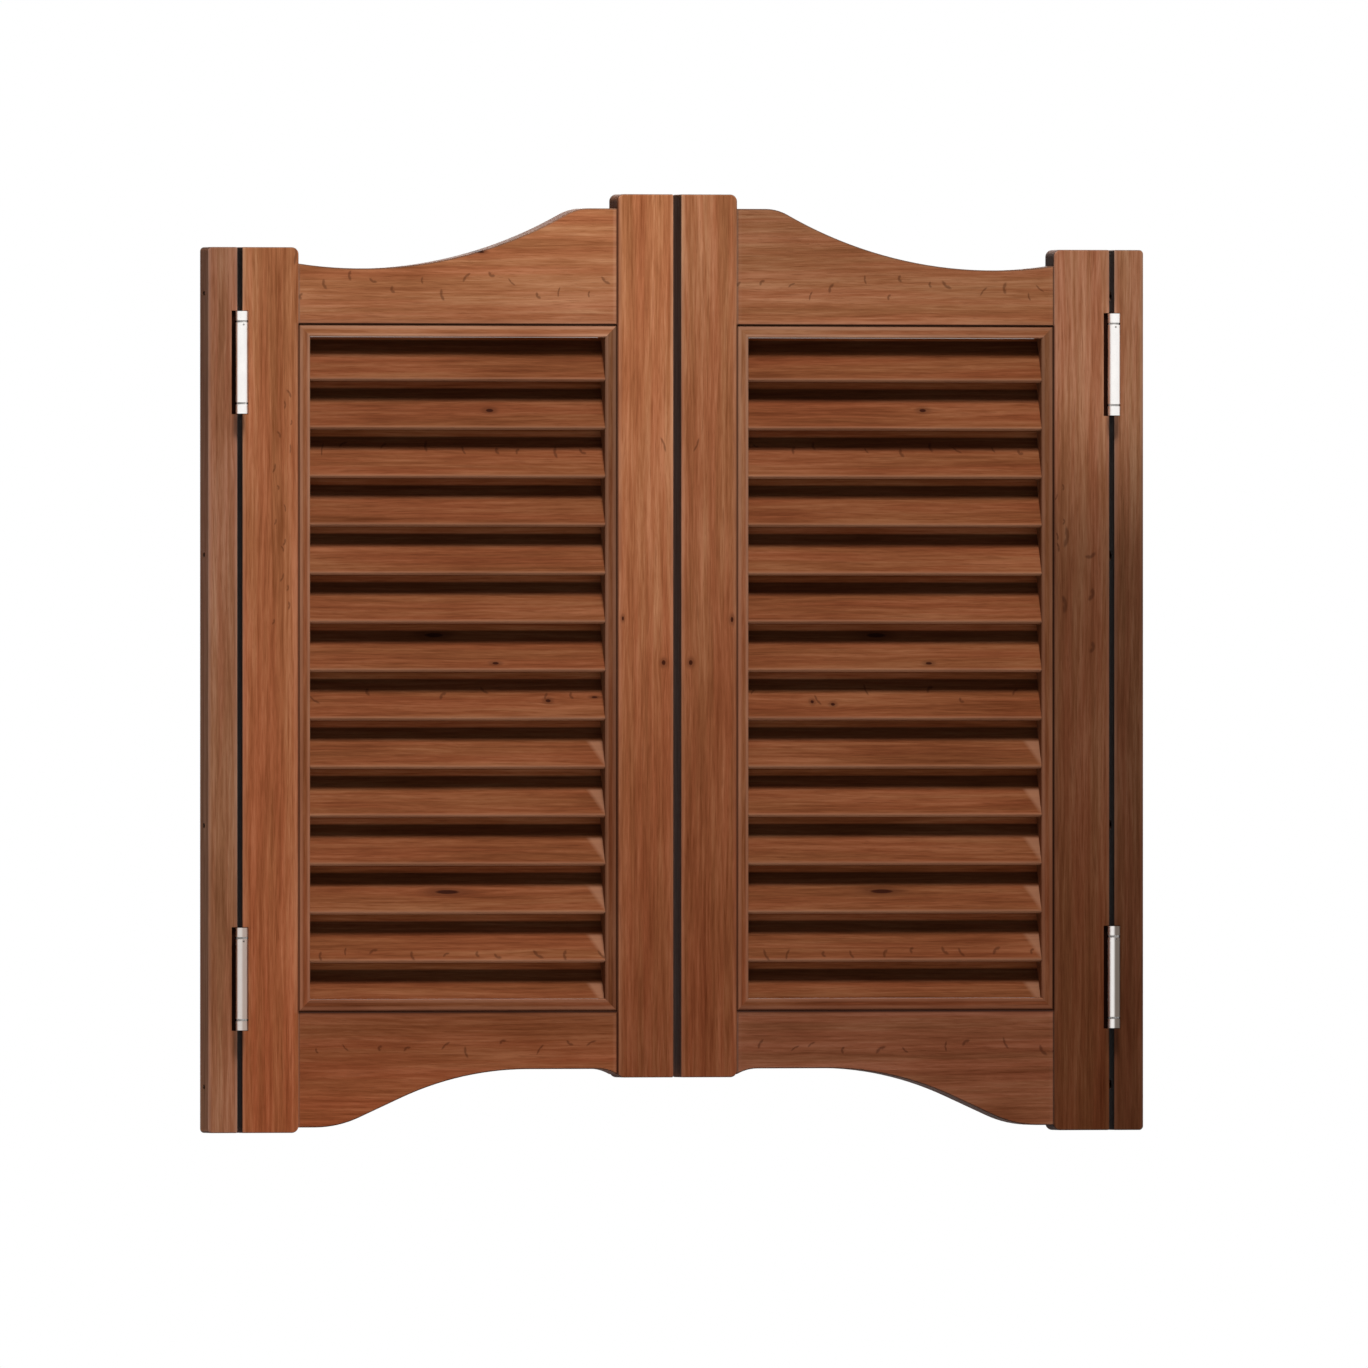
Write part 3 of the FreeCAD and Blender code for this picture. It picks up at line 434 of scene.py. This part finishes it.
def wood(name, level, face):
    """Stained wood of one board, with its grain level or upright."""
    material, s = new_material(f"wood_{name}")
    chance = random.Random(name)
    coordinates = s.node("ShaderNodeTexCoord")
    normal = coordinates.outputs["Normal"]
    x, y, z = s.split(coordinates.outputs["Object"])
    along, across = (x, z) if level else (z, x)
    place = s.joined(along, across, y)
    board = s.vector("ADD", place, tuple(chance.uniform(*NOISE_SHIFT) for _ in range(3)))
    face_point = s.vector("MULTIPLY", place, (1.0, 1.0, 0.0))

    knot_mask, knot_push = knots(s, face_point, knot_list(name, level))
    sway = s.math("MULTIPLY", s.math("SUBTRACT", s.noise(board, *SWAY_NOISE), 0.5), SWAY)
    grain = s.vector("ADD", board, s.joined(0.0, s.math("ADD", sway, knot_push), sway))
    noise = {kind: s.noise(grain, *settings) for kind, settings in GRAIN_NOISES.items()}
    noise["cloud"] = s.noise(board, *CLOUD_NOISE)
    pores = s.step(noise["pores"], *PORES_SHOWN)

    light_line, joint_line, recess_shade = edge_lines(s, name, (x, y, z), normal)
    # Pale arrises and edge lines, partly wear and partly painted highlight; on slats also painted highlights
    # on the noses and painted patches of light in the lower right corners.
    worn_and_lit = board_wear_and_highlight(s, name, arris(s, normal, face), light_line, noise["cloud"])
    if "slat" in name:
        worn_and_lit = s.math("MAXIMUM", worn_and_lit, slat_painted_light(s, name, x, z, normal))
    colour = s.mix(worn_and_lit, stain(s, noise, pores), WORN_AND_LIT_COLOUR)
    colour = s.mix(joint_line, colour, JOINT_COLOUR)
    # Painted shade in the recesses beside the hinge barrels.
    colour = s.mix(recess_shade, colour, RECESS_SHADE_COLOUR)
    marks = s.math("MULTIPLY", ticks(s, face_point, tick_list(name, level, chance)), MARK_STRENGTH)
    colour = s.mix(s.math("MAXIMUM", knot_mask, marks), colour, KNOT_COLOUR)
    # Painted light: the boards turn warmer towards the bottom and cooler towards the top.
    colour = s.vector("MULTIPLY", colour, board_tint_and_light(s, name, z))
    variation = chance.uniform(*TONE_VARIATION)
    # The board's own tone with painted light and shade.
    colour = s.scaled(colour, board_tone_and_shade(s, name, z, normal, variation))

    roughness = s.math("MULTIPLY_ADD", noise["streaks"], STREAK_ROUGHNESS, WOOD_ROUGHNESS)
    roughness = s.math("MULTIPLY_ADD", noise["cloud"], CLOUD_ROUGHNESS, roughness)
    height = s.math("MULTIPLY", noise["streaks"], STREAK_HEIGHT)
    height = s.math("MULTIPLY_ADD", noise["fibres"], FIBRE_HEIGHT, height)
    height = s.math("MULTIPLY_ADD", pores, PORE_HEIGHT, height)
    s.surface(colour, roughness, s.bump(height, *WOOD_BUMP), specular=WOOD_SPECULAR)
    return material


def stain(s, noise, pores):
    """Colour of the stained wood before its wear and its marks."""
    tone = 0.5
    for kind, weight in TONE_WEIGHTS.items():
        tone = s.math("MULTIPLY_ADD", s.math("SUBTRACT", noise[kind], 0.5), weight, tone)
    tint = s.mix(s.step(noise["hue"], *HUE_CHANGE), REDDER, TANNER)
    colour = s.vector("MULTIPLY", s.ramp(tone, WOOD_RAMP), tint)
    dashes = s.math("MULTIPLY", s.step(noise["dashes"], *DASHES_SHOWN), DASH_DARKNESS)
    dark_marks = s.math("MAXIMUM", s.math("MULTIPLY", pores, PORE_DARKNESS), dashes)
    return s.mix(dark_marks, colour, WOOD_DARK)


def board_wear_and_highlight(s, name, rounded, light_line, cloud):
    """Mask of the pale arrises of a board and of the pale lines along its edges, partly wear and partly
    painted highlight.
    """
    rounded = s.math("MULTIPLY", rounded, SLAT_ARRIS_PALE if "slat" in name else ARRIS_PALE)
    line = s.math("MULTIPLY", light_line, BAR_LINE_PALE if "bar" in name else LINE_PALE)
    uneven = s.between(s.step(cloud, *WORN_CLOUDS), LEAST_WEAR, 1.0)
    return s.math("MULTIPLY", s.math("MAXIMUM", rounded, line), uneven)


def board_tint_and_light(s, name, z):
    """Colour that a board's own is multiplied by: painted light on the boards, warmer below and cooler
    above, and a plain tint on the slats.
    """
    if "slat" in name:
        return SLAT_TINT
    return s.mix(s.step(z, 0.0, TINT_HEIGHT, smooth=False), *LIGHT_TINTS.get(name, USUAL_LIGHT_TINTS))


def slat_nose(name):
    """Height of the front edge of a slat, also where the frame bar hides it."""
    side, number = name.split("_slat_")
    first, second = (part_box(f"{side}_slat_{count}")[0].z for count in ("01", "02"))
    return first + SLAT_NOSE - (int(number) - 1) * (first - second)


def slat_front(s, normal):
    """Mask of the face of a slat that is turned to the front."""
    return s.step(s.vector("DOT_PRODUCT", normal, SLAT_FACE, output=1), *SLAT_FRONT)


def slat_painted_light(s, name, x, z, normal):
    """Mask of the painted highlight on a slat's nose, and of the painted patch of light in the right corner
    of a lower one's front.
    """
    above = s.math("SUBTRACT", z, slat_nose(name))
    nose = s.step(above, SLAT_NOSE_HIGHLIGHT, SLAT_NOSE_HIGHLIGHT_FULL * SLAT_NOSE_HIGHLIGHT)
    nose = s.math("MULTIPLY", nose, SLAT_NOSE_STRENGTH)
    side, number = name.split("_slat_")
    if int(number) < PALE_CORNER_FROM:
        return nose
    # Painted patch of light in the right corner of the lower slats.
    bar = "left_louvre_bar_meeting_side" if side == "left" else "right_louvre_bar_hinge_side"
    slope = PALE_CORNER_WIDTH / PALE_CORNER_HEIGHT
    inside = s.math("SUBTRACT", x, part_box(bar)[0].x)
    corner = s.step(s.math("MULTIPLY_ADD", above, slope, inside), *PALE_CORNER_EDGE)
    below_top = s.step(above, PALE_CORNER_HEIGHT, PALE_CORNER_HEIGHT - PALE_CORNER_TOP)
    corner = s.math("MULTIPLY", corner, below_top)
    corner = s.math("MULTIPLY", corner, slat_front(s, normal))
    return s.math("MAXIMUM", nose, s.math("MULTIPLY", corner, PALE_CORNER_STRENGTH))


def slat_tone_and_shade(s, name, z, normal, variation):
    """How light a slat is over its height, partly painted light, with a painted shadow band and a painted
    lighter band on its front below the slat above.
    """
    bottom, top = (corner.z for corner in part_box(name))
    low, high = LEFT_SLAT_TONES_AND_LIGHT if name.startswith("left") else RIGHT_SLAT_TONES_AND_LIGHT
    tone = (low + (high - low) * (bottom + top) / 2.0 / TINT_HEIGHT) * variation
    # Painted shadow of the slat above, and a painted lighter band just below it.
    above = s.math("SUBTRACT", z, slat_nose(name))
    share = 1.0
    for (start, before), (end, after) in zip(SLAT_BANDS, SLAT_BANDS[1:]):
        share = s.math("MULTIPLY_ADD", s.step(above, start, end), after - before, share)
    share = s.math("MULTIPLY_ADD", s.math("SUBTRACT", share, 1.0), slat_front(s, normal), 1.0)
    return s.math("MULTIPLY", share, tone)


def board_tone_and_shade(s, name, z, normal, variation):
    """How light a board is at each height, partly its own tone and partly painted light, with its ends
    darker and painted shade on its sides in the gaps.
    """
    if "slat" in name:
        return slat_tone_and_shade(s, name, z, normal, variation)
    bottom, top = (corner.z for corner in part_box(name))
    low, high = TONES_AND_LIGHT[name]
    tone = s.between(s.step(z, bottom, top, smooth=False), low * variation, high * variation)
    # Painted shadow over the lower part of the right hinge stile and strip.
    if name in DARKER_BELOW:
        height, change, share = DARKER_BELOW[name]
        tone = s.math("MULTIPLY", tone, s.between(s.step(z, height - change, height), share, 1.0))
    if "bar" in name:
        return tone
    # Painted shade on the sides in the joints and gaps, and darker ends.
    across, _, upward = s.split(normal)
    if "strip" in name:
        inward = 1.0 if name.startswith("left") else -1.0
        sideways = s.step(s.math("MULTIPLY", across, inward), *FACING_SIDEWAYS)
    else:
        sideways = s.step(s.math("ABSOLUTE", across), *FACING_SIDEWAYS)
    side_share = HINGE_GAP_SHARE if "hinge_stile" in name or "strip" in name else SIDE_SHARE
    tone = s.math("MULTIPLY", tone, s.between(sideways, 1.0, side_share))
    at_end = s.step(s.math("ABSOLUTE", upward), *FACING_UP)
    return s.math("MULTIPLY", tone, s.between(at_end, 1.0, END_SHARE))


def on_board(x, z, level):
    """A place on the face as (along the grain, across it)."""
    return (x, z) if level else (z, x)


def knot_list(name, level):
    """A board's knots as (along, across, half length, half width, slope)."""
    return [(*on_board(x, z, level), *size, 0.0) for x, z, *size in KNOTS.get(name, [])]


def tick_list(name, level, chance):
    """A board's short marks: those at chosen places, those of its row and its flecks."""
    marks = [(*on_board(x, z, level), *rest) for x, z, *rest in TICKS.get(name, [])]
    if name in TICK_ROWS:
        low, high, count = TICK_ROWS[name]
        start, end = (corner.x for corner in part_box(name))
        for number in range(count):
            x = start + (end - start) * (number + chance.uniform(*MARK_STRETCH)) / count
            z = chance.uniform(low, high)
            size = (chance.uniform(*MARK_HALF_LENGTH), chance.uniform(*MARK_HALF_WIDTH))
            marks.append((*on_board(x, z, level), *size, chance.uniform(*MARK_SLOPE)))
    if name in FLECK_COLUMNS:
        left, right, low, high, count = FLECK_COLUMNS[name]
        for number in range(count):
            x = chance.uniform(left, right)
            z = low + (high - low) * (number + chance.uniform(*FLECK_STRETCH)) / count
            size = (chance.uniform(*FLECK_HALF_LENGTH), chance.uniform(*FLECK_HALF_WIDTH))
            marks.append((*on_board(x, z, level), *size, chance.uniform(*FLECK_SLOPE)))
    return marks


def from_mark(s, face_point, mark):
    """Place relative to a mark, with its half length and half width as the units."""
    along, across, half_length, half_width, slope = mark
    made = s.node("ShaderNodeMapping", vector_type="TEXTURE")
    s.feed(made.inputs["Vector"], face_point)
    made.inputs["Location"].default_value = (along, across, 0.0)
    made.inputs["Rotation"].default_value = (0.0, 0.0, slope)
    made.inputs["Scale"].default_value = (half_length, half_width, 1.0)
    return made.outputs[0]


def knots(s, face_point, marks):
    """Mask of a board's knots, and how far they push the grain aside."""
    mask, push = 0.0, 0.0
    for mark in marks:
        half_width = mark[3]
        relative = from_mark(s, face_point, mark)
        distance = s.vector("LENGTH", relative, output=1)
        core = s.math("SUBTRACT", 1.0, s.step(distance, *KNOT_CORE))
        halo = s.math("SUBTRACT", 1.0, s.step(distance, *KNOT_HALO))
        halo = s.math("MULTIPLY", halo, KNOT_HALO_STRENGTH)
        mask = s.math("MAXIMUM", mask, s.math("MAXIMUM", core, halo))
        near = s.math("EXPONENT", s.math("MULTIPLY", distance, -KNOT_PUSH_FADE))
        aside = s.math("MULTIPLY", s.math("TANH", s.split(relative)[1]), near)
        push = s.math("MULTIPLY_ADD", aside, -KNOT_PUSH * half_width, push)
    return mask, push


def ticks(s, face_point, marks):
    """Mask of short marks, each one side of a narrow ring."""
    mask = 0.0
    for mark in marks:
        relative = from_mark(s, face_point, mark)
        distance = s.vector("LENGTH", relative, output=1)
        from_ring = s.math("ABSOLUTE", s.math("SUBTRACT", distance, RING_RADIUS))
        side = s.step(s.split(relative)[1], *RING_SIDE)
        mask = s.math("MAXIMUM", mask, s.math("MULTIPLY", s.step(from_ring, *RING_FADE), side))
    return mask


def facing(s, normal, face):
    """How far a surface is turned to a face's direction or away from it, from 0 to 1."""
    return s.math("ABSOLUTE", s.vector("DOT_PRODUCT", normal, face, output=1))


def arris(s, normal, face):
    """Mask of the rounded edges beside a board's front and back."""
    turned = facing(s, normal, face)
    return s.math("MULTIPLY", s.step(turned, *ARRIS_FROM_SIDE), s.step(turned, *ARRIS_FROM_FACE))


def board_edges(name):
    """Straight edges of a board's face as (axis, place, half width of the dark line there, joint)."""
    side, kind = name.split("_", 1)
    low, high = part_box(name)
    left = side == "left"
    if "stile" in kind:
        joint = kind.split("_")[0]
        joint_x, free_x = (high.x, low.x) if left == (joint == "hinge") else (low.x, high.x)
        return [("x", joint_x, JOINT, joint), ("x", free_x, 0.0, "")]
    if "hanging" in kind:
        return [("x", low.x, 0.0, ""), ("x", high.x, 0.0, "")]
    if "bars_level" in kind:
        inner = [("z", place, 0.0, "") for place in (low.z + BAR_WIDTH, high.z - BAR_WIDTH)]
        return [("z", low.z, WIDE_JOINT, "frame"), ("z", high.z, JOINT, "frame"), *inner]
    if "bar" in kind:
        outer_x, inner_x = (high.x, low.x) if left == ("meeting" in kind) else (low.x, high.x)
        return [("x", outer_x, JOINT, "frame"), ("x", inner_x, 0.0, "")]
    if "rail" in kind:
        hinge, meeting = (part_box(f"{side}_{role}_stile") for role in ("hinge", "meeting"))
        hinge_x, meeting_x = (hinge[1].x, meeting[0].x) if left else (hinge[0].x, meeting[1].x)
        bars_low, bars_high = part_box(f"{side}_louvre_bars_level")
        level_edge = (bars_high.z, JOINT) if "top" in kind else (bars_low.z, WIDE_JOINT)
        upright_edges = [("x", hinge_x, JOINT, "hinge"), ("x", meeting_x, JOINT, "meeting")]
        return [*upright_edges, ("z", *level_edge, "frame")]
    return []


def joint_strength(s, side, joint, z):
    """How dark a joint is: like the louvre frame's beside that, and its own above and below."""
    if joint == "frame":
        return FRAME_JOINT
    low, high = (corner.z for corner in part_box(f"{side}_louvre_bars_level"))
    middle, half = (low + high) / 2.0, (high - low) / 2.0
    from_middle = s.math("ABSOLUTE", s.math("SUBTRACT", z, middle))
    beside_frame = s.step(from_middle, half + JOINT_CHANGE, half)
    return s.between(beside_frame, RAIL_JOINTS[f"{side}_{joint}"], FRAME_JOINT)


def edge_lines(s, name, place, normal):
    """Masks of the pale line along a board's edges, partly painted highlight, the dark line in its joints,
    and the painted shade in its recesses.
    """
    x, y, z = place
    side = name.split("_")[0]
    pale, stained = 0.0, 0.0
    pale_start, pale_end = PALE_LINE
    dark_start, dark_end = DARK_LINE
    for axis, edge, half_width, joint in board_edges(name):
        far = s.math("ABSOLUTE", s.math("SUBTRACT", x if axis == "x" else z, edge))
        line = s.math("SUBTRACT", 1.0, s.step(far, pale_start + half_width, pale_end + half_width))
        if not joint:
            pale = s.math("MAXIMUM", pale, line)
            continue
        strength = joint_strength(s, side, joint, z)
        pale = s.math("MAXIMUM", pale, s.math("MULTIPLY", line, strength))
        near = s.math("SUBTRACT", 1.0, s.step(far, dark_start * half_width, dark_end * half_width))
        stained = s.math("MAXIMUM", stained, s.math("MULTIPLY", near, strength))
    turned = facing(s, normal, FRONT_FACE)
    full = s.step(turned, *PALE_LINE_FACING)
    on_face = s.step(turned, *DARK_LINE_FACING)
    sunk_shade = 0.0
    # Painted shade on the floor of the recess beside each hinge barrel.
    if name.endswith(("hinge_stile", "strip")):
        deep = s.step(s.math("ABSOLUTE", y), RECESS_FLOOR + RECESS_EDGE, RECESS_FLOOR)
        sunk_shade = s.math("MULTIPLY", deep, full)
    return s.math("MULTIPLY", pale, full), s.math("MULTIPLY", stained, on_face), sunk_shade


def steel(name, colour, roughness, turned):
    """Satin plated steel, turned round an upright axis or brushed along it, with painted shade and
    reflection on the lower hinges.
    """
    material, s = new_material(name)
    coordinates = s.node("ShaderNodeTexCoord")
    position = coordinates.outputs["Object"]
    lines = s.noise(position, *(TURNED_LINES if turned else BRUSHED_LINES))
    smears = s.noise(position, *SMEAR_NOISE)
    pits = s.step(s.noise(position, *PIT_NOISE), *PITS_SHOWN)
    tone = s.math("MULTIPLY_ADD", lines, LINE_TONE, s.math("MULTIPLY_ADD", smears, SMEAR_TONE, STEEL_TONE))
    shade = s.scaled(s.mix(s.math("MULTIPLY", pits, PIT_DARKNESS), colour, PIT_COLOUR), tone)
    # Painted shade and reflection on the lower hinges, stronger on their right sides.
    painted_shade, painted_shade_colour = hinge_painted_shade(s, position, coordinates.outputs["Normal"])
    shade = s.mix(painted_shade, shade, painted_shade_colour)
    rough = s.math("MULTIPLY_ADD", lines, LINE_ROUGHNESS, roughness)
    rough = s.math("MULTIPLY_ADD", smears, SMEAR_ROUGHNESS, rough)
    s.surface(shade, rough, s.bump(lines, *STEEL_BUMP), metallic=1.0)
    return material


def hinge_painted_shade(s, position, normal):
    """Mask and colour of the painted shade and reflection on the lower hinges, which is stronger on their
    right sides.
    """
    x, _, z = s.split(position)
    lower = s.step(z, *HINGE_SHADE_HEIGHT)
    right_door = s.step(x, *HINGE_SHADE_DOOR)
    right_side = s.step(s.split(normal)[0], *HINGE_SHADE_SIDE)
    all_round = s.between(right_door, *HINGE_SHADE_ALL_ROUND)
    one_sided = s.between(right_door, *HINGE_SHADE_RIGHT_SIDES)
    painted_shade = s.math("MULTIPLY", lower, s.math("MULTIPLY_ADD", right_side, one_sided, all_round))
    return painted_shade, s.mix(right_door, *HINGE_SHADE_COLOURS)


def moulded(name, colour, roughness):
    """Fine-grained moulded plastic with a little dust."""
    material, s = new_material(name)
    position = s.node("ShaderNodeTexCoord").outputs["Object"]
    grain = s.noise(position, *MOULD_NOISE)
    dust = s.noise(position, *DUST_NOISE)
    dusty = tuple(channel * 1.8 + 0.01 for channel in colour)
    shade = s.mix(s.step(dust, *DUST_SHOWN), colour, dusty)
    rough = s.math("MULTIPLY_ADD", dust, DUST_ROUGHNESS, roughness)
    s.surface(shade, rough, s.bump(grain, *MOULD_BUMP))
    return material


def dress(node, material):
    """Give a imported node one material."""
    node.data.materials.clear()
    node.data.materials.append(material)


def dress_all():
    """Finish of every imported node."""
    shared = {
        "spindles": steel("steel_spindle", (0.80, 0.78, 0.75), 0.20, turned=True),
        "flanges": steel("steel_barrel", (0.95, 0.92, 0.89), 0.22, turned=True),
        "leaves": steel("steel_leaf", (0.95, 0.92, 0.89), 0.24, turned=False),
        "screws": steel("steel_screw", (0.78, 0.76, 0.73), 0.26, turned=False),
        "springs": steel("steel_spring", (0.10, 0.10, 0.11), 0.36, turned=True),
        "bushes": moulded("bush_grey", (0.480, 0.470, 0.455), 0.48),
    }
    for name, node in nodes.items():
        ending = name.rsplit("_", 1)[1]
        if ending in shared:
            dress(node, shared[ending])
        else:
            level = any(word in name for word in ("rail", "slat", "level"))
            dress(node, wood(name, level, SLAT_FACE if "slat" in name else FRONT_FACE))


def add_camera():
    """Far camera to the left of the doors, level with their middle."""
    distance = 40.0
    seen_width = 1.3385
    turn = math.radians(17.63)
    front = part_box("left_top_rail")[0].y
    target = Vector((0.0067, front, 0.4379))
    data = bpy.data.cameras.new("camera")
    data.sensor_width = 36.0
    data.lens = data.sensor_width * distance / seen_width
    camera = bpy.data.objects.new("camera", data)
    camera.location = target - distance * Vector((math.sin(turn), math.cos(turn), 0.0))
    camera.rotation_euler = (math.pi / 2.0, 0.0, -turn)
    bpy.context.scene.collection.objects.link(camera)
    bpy.context.scene.camera = camera


def add_area_light(name, place, target, size, power):
    """White rectangular light that points at a target."""
    data = bpy.data.lights.new(name, "AREA")
    data.shape = "RECTANGLE"
    data.size, data.size_y = size
    data.energy = power
    light = bpy.data.objects.new(name, data)
    light.location = place
    light.rotation_euler = (Vector(target) - Vector(place)).to_track_quat("-Z", "Y").to_euler()
    bpy.context.scene.collection.objects.link(light)


def add_lights():
    """Steep key light from the front and a weaker one for the back."""
    middle = (0.0, 0.0, 0.45)
    add_area_light("key", (0.0, -2.07, 5.02), middle, size=(1.2, 0.80), power=364.0)
    add_area_light("back", (0.5, 1.9, 1.7), middle, size=(1.4, 1.4), power=22.0)


def add_world():
    """White to the camera, in reflections and through clear pieces, and a weak even light elsewhere."""
    world = bpy.data.worlds.new("studio")
    bpy.context.scene.world = world
    world.use_nodes = True
    s = Shader(world.node_tree)
    rays = s.node("ShaderNodeLightPath").outputs
    seen = s.math("MAXIMUM", rays["Is Camera Ray"], rays["Is Transmission Ray"])
    seen = s.math("MAXIMUM", seen, rays["Is Glossy Ray"])
    fill = 0.05
    background = s.node("ShaderNodeBackground")
    background.inputs["Color"].default_value = (1.0, 1.0, 1.0, 1.0)
    s.feed(background.inputs["Strength"], s.between(seen, fill, 1.0))
    output = s.node("ShaderNodeOutputWorld")
    s.tree.links.new(background.outputs[0], output.inputs["Surface"])


def add_floor():
    """Pale floor below the doors, which fades into the background away from them."""
    half = 6.0
    level = -0.30
    mesh = bpy.data.meshes.new("floor")
    corners = [(-half, -half), (half, -half), (half, half), (-half, half)]
    mesh.from_pydata([(x, y, level) for x, y in corners], [], [(0, 1, 2, 3)])
    floor = bpy.data.objects.new("floor", mesh)
    bpy.context.scene.collection.objects.link(floor)

    material, s = new_material("floor_pale")
    position = s.node("ShaderNodeTexCoord").outputs["Object"]
    away = s.vector("LENGTH", s.vector("MULTIPLY", position, (1.0, 1.0, 0.0)), output=1)
    rays = s.node("ShaderNodeLightPath").outputs
    seen = s.math("MAXIMUM", rays["Is Camera Ray"], rays["Is Glossy Ray"])
    fade_start, fade_end, nearby_share = 0.5, 2.2, 0.82
    share = s.between(s.step(away, fade_start, fade_end), nearby_share, 1.0)
    diffuse = s.node("ShaderNodeBsdfDiffuse")
    diffuse.inputs["Color"].default_value = (0.80, 0.80, 0.80, 1.0)
    glow = s.node("ShaderNodeEmission")
    glow.inputs["Color"].default_value = (1.0, 1.0, 1.0, 1.0)
    blend = s.node("ShaderNodeMixShader")
    s.feed(blend.inputs[0], s.math("MULTIPLY", seen, share))
    s.tree.links.new(diffuse.outputs[0], blend.inputs[1])
    s.tree.links.new(glow.outputs[0], blend.inputs[2])
    output = s.node("ShaderNodeOutputMaterial")
    s.tree.links.new(blend.outputs[0], output.inputs["Surface"])
    mesh.materials.append(material)


dress_all()
add_camera()
add_lights()
add_world()
add_floor()
bpy.context.scene.view_settings.view_transform = "Standard"
